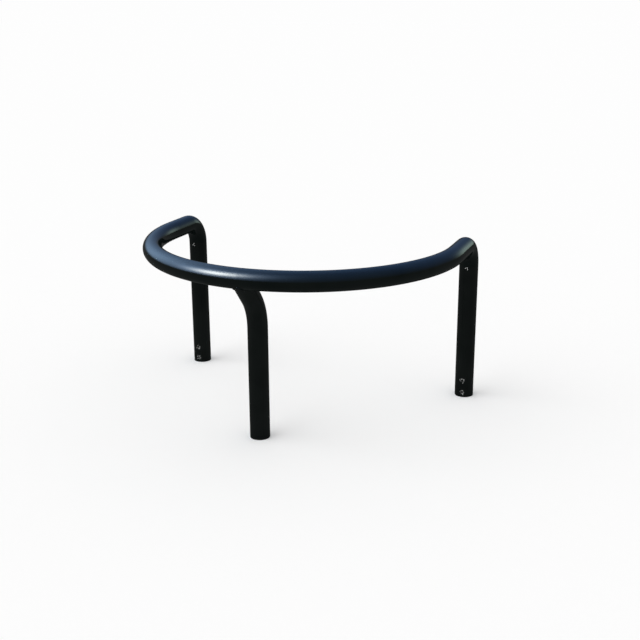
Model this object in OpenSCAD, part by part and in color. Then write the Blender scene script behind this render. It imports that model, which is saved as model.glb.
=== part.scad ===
// Tree guard hoop: a half-round rail of bent steel tube on three legs
// Millimetres. +Z is up, the front leg stands towards -Y, and the origin lies on the ground
// under the middle of the rail's outline.

/* [Tube] */
// Outside diameter of the steel tube
tube_d = 60.3; // [48.3:0.1:76.1]
// Wall thickness of the tube
tube_wall = 3.2; // [2.6:0.1:4.5]

/* [Rail] */
// Width of the hoop between the centre lines of its end legs
rail_width = 972; // [800:2:1200]
// Height of the rail's top above the ground
rail_top = 545; // [450:5:700]
// Straight length of rail behind the half circle, on each side
tail_length = 100; // [60:1:200]
// Centre line radius of the bends that turn the rail down into its end legs
corner_r = 74; // [70:1:110]

/* [Front leg] */
// How far the crank sets the foot back from the rail's centre line
crank_depth = 104; // [90:1:115]
// Angle of the crank from upright
crank_angle = 42; // [36:1:46]
// Centre line radius of the crank
crank_r = 150; // [110:1:160]

/* [Anchor and vent holes] */
// Diameter of the anchor holes through each end leg
anchor_d = 10; // [6:0.5:14]
// Height of the lower anchor hole above the ground
anchor_low = 17; // [14:1:30]
// Distance between the two anchor holes of a leg
anchor_pitch = 40; // [25:1:60]
// Diameter of the vent hole under each corner bend
vent_d = 6; // [4:0.5:10]
// Distance of the vent hole below the end of the corner bend
vent_drop = 6; // [6:1:30]

/* [Weld and cut ends] */
// How far the weld bead stands out from both tubes
weld_size = 3; // [2:0.5:5]
// Chamfer that takes the burr off the edges of each foot
foot_chamfer = 0.8; // [0.4:0.1:1.2]

/* [Hidden] */
$fn = 96;
tube_r = tube_d / 2;
bore_r = tube_r - tube_wall;
arc_r = rail_width / 2;
rail_z = rail_top - tube_r;
// Places the half circle's centre so that the outline is centred on the origin
arc_y = (arc_r - tail_length - corner_r) / 2;
tail_end_y = arc_y + tail_length;
leg_x = rail_width / 2;
leg_y = tail_end_y + corner_r;
leg_height = rail_z - corner_r;
rail_front_y = arc_y - arc_r;
foot_y = rail_front_y + crank_depth;
// The crank's two straight axes would meet at this height
crank_corner_z = rail_z - crank_depth / tan(crank_angle);
// Length of either straight that the crank's arc takes up
crank_tangent = crank_r * tan(crank_angle / 2);
foot_height = crank_corner_z - crank_tangent;
slant_length = crank_depth / sin(crank_angle);
// The slanting tube stops short of the rail's axis, so that its coped tips aren't knife edges
tip_trim = 6;
// How far down the slanting tube the weld's outline is cut out, and where it ends at the top
weld_reach = tube_r * 2;
weld_top_trim = 2;
// Overlap that carries a cut clear through a face
cut = 1;
steel = [0.07, 0.07, 0.075];

// Straight tube standing on z = 0
module tube(length) {
    difference() {
        cylinder(r = tube_r, h = length);
        translate([0, 0, -cut])
            cylinder(r = bore_r, h = length + 2 * cut);
    }
}

// Straight tube standing on z = 0, with the edges of its foot taken off
module foot_tube(length) {
    rotate_extrude()
        polygon([
            [bore_r, foot_chamfer],
            [bore_r + foot_chamfer, 0],
            [tube_r - foot_chamfer, 0],
            [tube_r, foot_chamfer],
            [tube_r, length],
            [bore_r, length]
        ]);
}

// Bent tube in the XY plane about the origin, from +X through the given angle
module bent_tube(bend_r, angle) {
    rotate_extrude(angle = angle)
        translate([bend_r, 0])
            difference() {
                circle(r = tube_r);
                circle(r = bore_r);
            }
}

// Solid ring of the rail's radius, which the front leg's end and its weld are cut to
module rail_ring(section_r) {
    translate([0, arc_y, rail_z])
        rotate_extrude()
            translate([arc_r, 0])
                circle(r = section_r);
}

// Moves its children to the slanting axis: +Z runs up the slant to the rail's axis at z = 0
module on_slant() {
    translate([0, rail_front_y, rail_z])
        rotate([crank_angle, 0, 0])
            children();
}

// Quarter of the rail's half circle, from the front to one side
module rail_arc(side) {
    color(steel)
        translate([0, arc_y, rail_z])
            rotate([0, 0, side < 0 ? 180 : 270])
                bent_tube(arc_r, 90);
}

module tail(side) {
    color(steel)
        translate([side * leg_x, tail_end_y, rail_z])
            rotate([90, 0, 0])
                tube(tail_length);
}

module corner_bend(side) {
    color(steel)
        translate([side * leg_x, tail_end_y, leg_height])
            rotate([90, 0, 90])
                bent_tube(corner_r, 90);
}

module leg(side) {
    color(steel)
        translate([side * leg_x, leg_y, 0])
            difference() {
                foot_tube(leg_height);
                for (z = [anchor_low, anchor_low + anchor_pitch])
                    translate([0, tube_r + cut, z])
                        rotate([90, 0, 0])
                            cylinder(d = anchor_d, h = tube_d + 2 * cut);
                translate([0, 0, leg_height - vent_drop])
                    rotate([90, 0, 0])
                        cylinder(d = vent_d, h = tube_r + cut);
            }
}

module front_leg() {
    color(steel)
        translate([0, foot_y, 0])
            foot_tube(foot_height);
}

module front_leg_crank() {
    color(steel)
        translate([0, foot_y - crank_r, foot_height])
            rotate([90, 0, 90])
                bent_tube(crank_r, crank_angle);
}

module front_leg_slant() {
    color(steel)
        difference() {
            on_slant()
                translate([0, 0, crank_tangent - slant_length])
                    tube(slant_length - crank_tangent - tip_trim);
            rail_ring(tube_r);
        }
}

module front_leg_weld() {
    color(steel)
        difference() {
            intersection() {
                on_slant()
                    translate([0, 0, -weld_reach])
                        difference() {
                            cylinder(r = tube_r + weld_size, h = weld_reach - weld_top_trim);
                            translate([0, 0, -cut])
                                cylinder(r = tube_r, h = weld_reach - tip_trim + cut);
                        }
                rail_ring(tube_r + weld_size);
            }
            rail_ring(tube_r);
        }
}

rail_arc(-1);  // left_rail_arc
rail_arc(1);  // right_rail_arc
tail(-1);  // left_tail
tail(1);  // right_tail
corner_bend(-1);  // left_corner_bend
corner_bend(1);  // right_corner_bend
leg(-1);  // left_leg
leg(1);  // right_leg
front_leg();
front_leg_crank();
front_leg_slant();
front_leg_weld();
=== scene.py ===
"""Tree guard hoop: a half-round rail of black painted steel tube on three legs, in soft studio light."""

import math

import bpy
from mathutils import Matrix, Vector


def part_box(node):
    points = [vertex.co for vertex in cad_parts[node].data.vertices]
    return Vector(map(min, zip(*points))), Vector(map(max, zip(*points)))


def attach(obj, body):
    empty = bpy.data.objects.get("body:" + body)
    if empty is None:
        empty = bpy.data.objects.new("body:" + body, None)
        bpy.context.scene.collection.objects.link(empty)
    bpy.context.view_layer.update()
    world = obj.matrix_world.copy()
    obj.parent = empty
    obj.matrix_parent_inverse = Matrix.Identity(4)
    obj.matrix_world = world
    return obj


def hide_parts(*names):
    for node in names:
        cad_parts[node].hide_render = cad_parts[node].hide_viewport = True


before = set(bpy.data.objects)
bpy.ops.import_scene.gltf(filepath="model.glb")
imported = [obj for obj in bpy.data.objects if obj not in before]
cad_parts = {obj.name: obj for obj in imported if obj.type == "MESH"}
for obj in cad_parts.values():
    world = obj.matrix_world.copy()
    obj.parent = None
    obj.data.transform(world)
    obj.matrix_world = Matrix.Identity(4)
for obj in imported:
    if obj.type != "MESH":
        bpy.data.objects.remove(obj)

# Sizes of the tube, in metres
TUBE_R = 0.03015
WALL = 0.0032
# Angle of the front leg's slanting length from upright, in degrees
CRANK_ANGLE = 42

# Camera: where it stands, and how far it turns left, looks down and rolls, in degrees
CAMERA_AT = (1.20466, -2.77993, 1.24056)
CAMERA_YAW = 21.579
CAMERA_PITCH = 17.2739
CAMERA_ROLL = -0.2612
CAMERA_LENS = 57.356  # millimetres
SENSOR_WIDTH = 36  # millimetres
VIEW_DEPTH = 200  # metres

# Light: the surround and the sun's share of it add up to a level at which colours render as written
WHITE = 0.985
AMBIENT = 0.82
SUN_SHARE = 0.18
SUN_AZIMUTH = -48  # degrees from the front, towards +X
SUN_HEIGHT = 35  # degrees above the horizon
SUN_SPREAD = 70  # degrees across
FLOOR_HALF = 60  # from the middle to each edge

# Glow that the gloss paint mirrors. Each light has its azimuth and height, how far it spreads, all
# three in degrees, and its colour
SUN_CORE = (SUN_AZIMUTH, SUN_HEIGHT, 10, (450, 450, 400))
SUN_HALO = (SUN_AZIMUTH, SUN_HEIGHT, 18, (70, 105, 160))
WIDE_HAZE = (SUN_AZIMUTH, SUN_HEIGHT, 45, (2, 3.5, 7))
LEFT_CLOUD = (-105, 25, 20, (18, 27, 38))
SKY_LIGHTS = (SUN_CORE, SUN_HALO, WIDE_HAZE, LEFT_CLOUD)
# A bright gap low behind the hoop, which the sky's soft lower edge doesn't dim
BRIGHT_GAP = (160, 6, 8, (12, 16, 14))
SKY_OVERHEAD = (1, 4, 11)
# The sky's soft lower edge, as the sines of the heights where it starts and ends
HORIZON = (-0.05, 0.15)

# Colours in linear light: the darker and the lighter tone of each finish
RAIL_TONES = ((0.0027, 0.0042, 0.0040), (0.0041, 0.0058, 0.0055))
# The legs, the front leg's bends and the weld bead wear the rail's black paint painted lighter: painted
# light for the brighter reflections the legs show
LEG_TONES_PAINTED_LIGHTER = ((0.0036, 0.0048, 0.0045), (0.0052, 0.0066, 0.0062))
# Light grey of the patches round the front of each hole
PATCH_TONES = ((0.42, 0.43, 0.42), (0.60, 0.61, 0.60))
STEEL_TONES = ((0.16, 0.15, 0.14), (0.30, 0.29, 0.27))
DUST_COLOUR = (0.05, 0.05, 0.045)

# Gloss of the paint, much weaker than real paint's, so that the white surround leaves the paint
# black. It grows towards the edges as it does on hard paint, at this share of it
COAT_INDEX = 1.08
COAT_ROUGHNESS = 0.06
PAINT_INDEX = 1.5
PAINT_SHARE = 0.055
# All the gloss is the coat's, so the paint under it has none
BASE_SHINE = 0.0
PAINT_ROUGHNESS = (0.42, 0.58)
UNCOATED_ROUGHNESS = 0.6

# Surface detail: the size of each pattern's lumps in metres, and the noise levels it fades between
CLOUD_SIZE = 0.09
CLOUD_LEVELS = (0.3, 0.7)
SPECK_SIZE = 0.0018
SPECK_LEVELS = (0.70, 0.76)
DUST_COVER = 0.5
# Dust lies where the surface's upward share is past these
DUST_UPWARD = (0.2, 0.9)
PEEL_SIZE = 0.004
PEEL_HEIGHT = 0.00003
SCUFF_SIZE = 0.0006
SCUFF_HEIGHT = PEEL_HEIGHT * 0.08
STEEL_SIZE = 0.004
PATCH_GRAIN_SIZE = 0.0012

# Worn foot of each leg: the heights where the paint is whole and where it is gone, how ragged that
# edge is, and the size of its lumps
WORN_HEIGHT = (0.0032, 0.0018)
WORN_RAGGED = 0.004
WORN_SIZE = 0.006
# How far outside the bore's surface the paint is whole, and where it is gone
BORE_EDGE = (0.0004, 0.0001)

# Holes in each end leg: radius, and height above the ground or distance below the leg's top
ANCHOR_R = 0.005
ANCHOR_HEIGHTS = (0.017, 0.057)
VENT_R = 0.003
VENT_DROP = 0.006
# Light grey patches round the front mouth of each hole, where the coat is taken off: their reach and
# raggedness in hole radii, then the size of their lumps, the width of their soft edge and their depth in
# metres
PATCH_REACH = 0.85
PATCH_RAGGED = 7
PATCH_LUMP_SIZE = 0.0035
PATCH_EDGE = 0.0002
PATCH_DEPTH = 0.00012

# Weld bead: section radius, how far its middle stands off both tubes, ripple pitch and depth
BEAD_R = 0.0030
BEAD_LIFT = 0.0002
BEAD_RIPPLE_PITCH = 0.0035
BEAD_RIPPLE_DEPTH = 0.0002
BEAD_STEPS = 480
BEAD_SIDES = 20
# How far each ripple bends along the bead, to either side of its middle, as a share of the pitch
BEAD_LAG = 0.35
# The seam is looked for this far down the slant, in tube radii, by halving the span this often
SEAM_REACH = 2.5
SEAM_HALVINGS = 40


class Graph:
    """Short calls for making and joining the nodes of one material or world."""

    def __init__(self, tree):
        self.tree = tree
        tree.nodes.clear()

    def add(self, kind, **settings):
        node = self.tree.nodes.new(kind)
        for name, value in settings.items():
            setattr(node, name, value)
        return node

    def give(self, socket, value):
        """Joins value to the socket if it is another node's output, and otherwise sets it."""
        if isinstance(value, bpy.types.NodeSocket):
            self.tree.links.new(value, socket)
        elif isinstance(value, tuple) and socket.type == "RGBA":
            socket.default_value = (*value, 1)
        else:
            socket.default_value = value

    def maths(self, operation, first, second=0.0):
        node = self.add("ShaderNodeMath", operation=operation)
        self.give(node.inputs[0], first)
        self.give(node.inputs[1], second)
        return node.outputs[0]

    def vector(self, operation, first, second):
        node = self.add("ShaderNodeVectorMath", operation=operation)
        self.give(node.inputs[0], first)
        self.give(node.inputs[1], second)
        return node.outputs["Value" if operation in ("DOT_PRODUCT", "DISTANCE") else "Vector"]

    def ramp(self, value, start, end):
        """Rises smoothly from 0 at start to 1 at end."""
        node = self.add("ShaderNodeMapRange", interpolation_type="SMOOTHSTEP")
        self.give(node.inputs["Value"], value)
        self.give(node.inputs["From Min"], start)
        self.give(node.inputs["From Max"], end)
        return node.outputs["Result"]

    def between(self, value, low, high):
        """Goes straight from low at value 0 to high at value 1."""
        node = self.add("ShaderNodeMapRange")
        self.give(node.inputs["Value"], value)
        self.give(node.inputs["To Min"], low)
        self.give(node.inputs["To Max"], high)
        return node.outputs["Result"]

    def mirrored(self, index):
        """Share of the light that a surface of this index mirrors at this angle."""
        node = self.add("ShaderNodeFresnel")
        self.give(node.inputs["IOR"], index)
        return node.outputs["Fac"]

    def noise(self, place, size, detail=3.0):
        """Noise from 0 to 1 whose lumps are about that size, in metres."""
        node = self.add("ShaderNodeTexNoise")
        self.give(node.inputs["Vector"], place)
        self.give(node.inputs["Scale"], 1 / size)
        self.give(node.inputs["Detail"], detail)
        return node.outputs["Fac"]

    def colour(self, share, first, second, blend="MIX"):
        node = self.add("ShaderNodeMix", data_type="RGBA", blend_type=blend)
        self.give(node.inputs["Factor"], share)
        self.give(node.inputs["A"], first)
        self.give(node.inputs["B"], second)
        return node.outputs["Result"]


def towards(azimuth, height):
    """Unit vector for degrees from the front towards +X, and degrees above the horizon."""
    a, h = math.radians(azimuth), math.radians(height)
    return Vector((math.sin(a) * math.cos(h), -math.cos(a) * math.cos(h), math.sin(h)))


def make_camera():
    data = bpy.data.cameras.new("camera")
    data.lens = CAMERA_LENS
    data.sensor_width = SENSOR_WIDTH
    data.clip_end = VIEW_DEPTH
    camera = bpy.data.objects.new("camera", data)
    bpy.context.scene.collection.objects.link(camera)
    yaw = Matrix.Rotation(math.radians(CAMERA_YAW), 4, "Z")
    pitch = Matrix.Rotation(math.radians(90 - CAMERA_PITCH), 4, "X")
    roll = Matrix.Rotation(math.radians(CAMERA_ROLL), 4, "Z")
    camera.matrix_world = Matrix.Translation(CAMERA_AT) @ yaw @ pitch @ roll
    bpy.context.scene.camera = camera


def make_sun():
    """One wide, soft sun. The world's glow stands for it in reflections."""
    data = bpy.data.lights.new("soft_sun", "SUN")
    data.energy = SUN_SHARE * math.pi / math.sin(math.radians(SUN_HEIGHT))
    data.angle = math.radians(SUN_SPREAD)
    sun = bpy.data.objects.new("soft_sun", data)
    bpy.context.scene.collection.objects.link(sun)
    sun.rotation_mode = "QUATERNION"
    sun.rotation_quaternion = towards(SUN_AZIMUTH, SUN_HEIGHT).to_track_quat("Z", "Y")
    sun.visible_glossy = False


def make_world():
    """White surround for what the camera, gloss and glass see, and an even light on everything."""
    world = bpy.data.worlds.new("surround")
    bpy.context.scene.world = world
    world.use_nodes = True
    g = Graph(world.node_tree)
    rays = g.add("ShaderNodeLightPath").outputs
    looking = g.maths("MAXIMUM", rays["Is Camera Ray"], rays["Is Glossy Ray"])
    looking = g.maths("MAXIMUM", looking, rays["Is Transmission Ray"])
    surround = g.add("ShaderNodeBackground")
    g.give(surround.inputs["Color"], g.colour(looking, (AMBIENT,) * 3, (WHITE,) * 3))
    glow = g.add("ShaderNodeBackground")
    g.give(glow.inputs["Color"], sky_glow(g))
    g.give(glow.inputs["Strength"], rays["Is Glossy Ray"])
    both = g.add("ShaderNodeAddShader")
    g.give(both.inputs[0], surround.outputs[0])
    g.give(both.inputs[1], glow.outputs[0])
    out = g.add("ShaderNodeOutputWorld")
    g.give(out.inputs["Surface"], both.outputs[0])
    # The glow is there for glossy rays only, so it isn't sampled as a lamp
    world.cycles.sampling_method = "NONE"


def add_light(g, way, total, azimuth, height, spread, tint):
    """Adds a round patch of light that fades outwards."""
    nearness = g.vector("DOT_PRODUCT", way, tuple(towards(azimuth, height)))
    off = g.maths("SUBTRACT", nearness, 1)
    share = g.maths("EXPONENT", g.maths("MULTIPLY", off, 1 / math.radians(spread) ** 2))
    return g.colour(1.0, total, g.colour(share, (0, 0, 0), tint), "ADD")


def sky_glow(g):
    """Colour of the hazy sun and the blue overhead, above the horizon, and of the gap on it."""
    way = g.add("ShaderNodeTexCoord").outputs["Generated"]
    height = g.vector("DOT_PRODUCT", way, (0, 0, 1))
    total = g.colour(height, (0, 0, 0), SKY_OVERHEAD)
    for light in SKY_LIGHTS:
        total = add_light(g, way, total, *light)
    sky = g.colour(g.ramp(height, *HORIZON), (0, 0, 0), total)
    return add_light(g, way, sky, *BRIGHT_GAP)


def make_floor():
    """Plain pale floor that reaches the horizon and keeps the object's soft shadow."""
    corners = [(x * FLOOR_HALF, y * FLOOR_HALF, 0) for x, y in ((-1, -1), (1, -1), (1, 1), (-1, 1))]
    mesh = bpy.data.meshes.new("floor")
    mesh.from_pydata(corners, [], [(0, 1, 2, 3)])
    floor = bpy.data.objects.new("floor", mesh)
    bpy.context.scene.collection.objects.link(floor)
    material = bpy.data.materials.new("floor")
    material.use_nodes = True
    g = Graph(material.node_tree)
    matt = g.add("ShaderNodeBsdfDiffuse")
    g.give(matt.inputs["Color"], (WHITE,) * 3)
    out = g.add("ShaderNodeOutputMaterial")
    g.give(out.inputs["Surface"], matt.outputs[0])
    mesh.materials.append(material)


def bright_patch_mask(g, place, axis, holes):
    """1 on the light grey patch round the front of each hole, and 0 on the paint."""
    ragged = g.maths("SUBTRACT", g.noise(place, PATCH_LUMP_SIZE), 0.5)
    mask = 0.0
    for height, radius in holes:
        mouth = Vector((axis[0], axis[1], height)) + TUBE_R * towards(0, 0)
        reach = g.maths("ADD", g.vector("DISTANCE", place, tuple(mouth)),
                        g.maths("MULTIPLY", ragged, PATCH_RAGGED * radius))
        edge = PATCH_REACH * radius
        mask = g.maths("MAXIMUM", mask, g.ramp(reach, edge + PATCH_EDGE, edge - PATCH_EDGE))
    return mask


def painted_steel(name, tones, axis=None, holes=()):
    """Gloss black paint with a faint orange peel and dust. A leg, which has an axis, also gets its worn
    foot, the unpainted steel of its bore and light grey patches round its holes."""
    material = bpy.data.materials.new(name)
    material.use_nodes = True
    g = Graph(material.node_tree)
    place = g.add("ShaderNodeTexCoord").outputs["Object"]
    facing = g.add("ShaderNodeNewGeometry").outputs["Normal"]

    clouds = g.noise(place, CLOUD_SIZE, 4.0)
    base = g.colour(g.ramp(clouds, *CLOUD_LEVELS), *tones)
    specks = g.ramp(g.noise(place, SPECK_SIZE, 2.0), *SPECK_LEVELS)
    upward = g.ramp(g.vector("DOT_PRODUCT", facing, (0, 0, 1)), *DUST_UPWARD)
    dust = g.maths("MULTIPLY", specks, upward)
    base = g.colour(g.maths("MULTIPLY", dust, DUST_COVER), base, DUST_COLOUR)
    rough = g.between(clouds, *PAINT_ROUGHNESS)

    peel = g.noise(place, PEEL_SIZE, 2.0)
    scuff = g.noise(place, SCUFF_SIZE, 3.0)
    relief = g.maths("MULTIPLY", peel, PEEL_HEIGHT)
    relief = g.maths("ADD", relief, g.maths("MULTIPLY", scuff, SCUFF_HEIGHT))
    grown = g.maths("DIVIDE", g.mirrored(PAINT_INDEX), g.mirrored(COAT_INDEX))
    coat = g.maths("MINIMUM", g.maths("MULTIPLY", grown, PAINT_SHARE), 1.0)

    if axis:
        bright_patch = bright_patch_mask(g, place, axis, holes)
        height = g.vector("DOT_PRODUCT", place, (0, 0, 1))
        ragged = g.maths("MULTIPLY", g.noise(place, WORN_SIZE), WORN_RAGGED)
        worn = g.ramp(g.maths("ADD", height, ragged), *WORN_HEIGHT)
        flat = g.vector("MULTIPLY", place, (1, 1, 0))
        from_axis = g.vector("DISTANCE", flat, (axis[0], axis[1], 0))
        inside = g.ramp(from_axis, *(TUBE_R - WALL + edge for edge in BORE_EDGE))
        steel = g.maths("MAXIMUM", worn, inside)
        base = g.colour(steel, base, g.colour(g.noise(place, STEEL_SIZE), *STEEL_TONES))
        base = g.colour(bright_patch, base, g.colour(g.noise(place, PATCH_GRAIN_SIZE), *PATCH_TONES))
        uncoated = g.maths("MAXIMUM", steel, bright_patch)
        coat = g.maths("MULTIPLY", coat, g.maths("SUBTRACT", 1.0, uncoated))
        rough = g.between(uncoated, rough, UNCOATED_ROUGHNESS)
        relief = g.maths("SUBTRACT", relief, g.maths("MULTIPLY", bright_patch, PATCH_DEPTH))

    bump = g.add("ShaderNodeBump")
    g.give(bump.inputs["Distance"], 1.0)
    g.give(bump.inputs["Height"], relief)
    paint = g.add("ShaderNodeBsdfPrincipled")
    g.give(paint.inputs["Base Color"], base)
    g.give(paint.inputs["Roughness"], rough)
    g.give(paint.inputs["Specular IOR Level"], BASE_SHINE)
    g.give(paint.inputs["Coat Weight"], coat)
    g.give(paint.inputs["Coat Roughness"], COAT_ROUGHNESS)
    g.give(paint.inputs["Coat IOR"], COAT_INDEX)
    g.give(paint.inputs["Normal"], bump.outputs["Normal"])
    g.give(paint.inputs["Coat Normal"], bump.outputs["Normal"])
    out = g.add("ShaderNodeOutputMaterial")
    g.give(out.inputs["Surface"], paint.outputs[0])
    return material


def leg_holes(top):
    """Height and radius of each hole in an end leg."""
    return [(height, ANCHOR_R) for height in ANCHOR_HEIGHTS] + [(top - VENT_DROP, VENT_R)]


def paint_nodes():
    """Gives every CAD node its paint, and each leg a paint with its own worn foot and holes."""
    rail_paint = painted_steel("rail_paint", RAIL_TONES)
    # The front leg's bends get the legs' paint, painted lighter than the rail's as painted light
    bend_paint = painted_steel("bend_paint", LEG_TONES_PAINTED_LIGHTER)
    for name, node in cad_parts.items():
        if name in ("left_leg", "right_leg", "front_leg"):
            lo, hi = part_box(name)
            axis = tuple((lo + hi) / 2)[:2]
            holes = [] if name == "front_leg" else leg_holes(hi.z)
            # Each leg's black paint is painted lighter than the rail's, as painted light
            paint = painted_steel(name + "_paint", LEG_TONES_PAINTED_LIGHTER, axis, holes)
        elif name.startswith("front_leg"):
            paint = bend_paint
        else:
            paint = rail_paint
        for slot in node.material_slots:
            slot.material = paint


def bead_path():
    """Points round the seam where the slanting tube meets the rail, with the ways out of both."""
    lo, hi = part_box("right_rail_arc")
    centre = Vector((0, hi.y, (lo.z + hi.z) / 2))
    ring_r = hi.x - TUBE_R
    start = centre + Vector((0, -ring_r, 0))
    angle = math.radians(CRANK_ANGLE)
    down = Vector((0, math.sin(angle), -math.cos(angle)))
    across = Vector((1, 0, 0))
    out = down.cross(across)
    reach = TUBE_R + BEAD_LIFT

    def off_rail(point):
        flat = Vector((point.x, point.y, centre.z)) - centre
        nearest = centre + flat.normalized() * ring_r
        return point - nearest

    points = []
    for i in range(BEAD_STEPS):
        turn = 2 * math.pi * i / BEAD_STEPS
        side = across * math.cos(turn) + out * math.sin(turn)
        near, far = 0.0, SEAM_REACH * TUBE_R
        for _ in range(SEAM_HALVINGS):
            middle = (near + far) / 2
            if off_rail(start + side * reach + down * middle).length < reach:
                near = middle
            else:
                far = middle
        points.append((start + side * reach + down * near, side))
    return points


def make_weld():
    """Rippled bead that closes on itself round the front leg's coped end."""
    path = bead_path()
    verts, faces = [], []
    run = 0.0
    for i, (point, side) in enumerate(path):
        before, after = path[i - 1][0], path[(i + 1) % len(path)][0]
        along = (after - before).normalized()
        lift = along.cross(side).normalized()
        run += (point - before).length
        for j in range(BEAD_SIDES):
            turn = 2 * math.pi * j / BEAD_SIDES
            lag = BEAD_LAG * (1 + math.cos(turn))
            wave = math.sin(2 * math.pi * (run / BEAD_RIPPLE_PITCH + lag))
            radius = BEAD_R + BEAD_RIPPLE_DEPTH * wave
            verts.append(point + radius * (side * math.cos(turn) + lift * math.sin(turn)))
    for i in range(BEAD_STEPS):
        for j in range(BEAD_SIDES):
            a, b = i * BEAD_SIDES, (i + 1) % BEAD_STEPS * BEAD_SIDES
            k = (j + 1) % BEAD_SIDES
            faces.append((a + j, a + k, b + k, b + j))
    mesh = bpy.data.meshes.new("weld_bead")
    mesh.from_pydata(verts, [], faces)
    mesh.update()
    for face in mesh.polygons:
        face.use_smooth = True
    bead = bpy.data.objects.new("weld_bead", mesh)
    bpy.context.scene.collection.objects.link(bead)
    # The bead gets the legs' paint, painted lighter than the rail's as painted light
    mesh.materials.append(painted_steel("weld_paint", LEG_TONES_PAINTED_LIGHTER))
    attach(bead, "root")
    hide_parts("front_leg_weld")


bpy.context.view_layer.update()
make_camera()
make_world()
make_sun()
make_floor()
paint_nodes()
make_weld()
bpy.context.scene.view_settings.view_transform = "Standard"
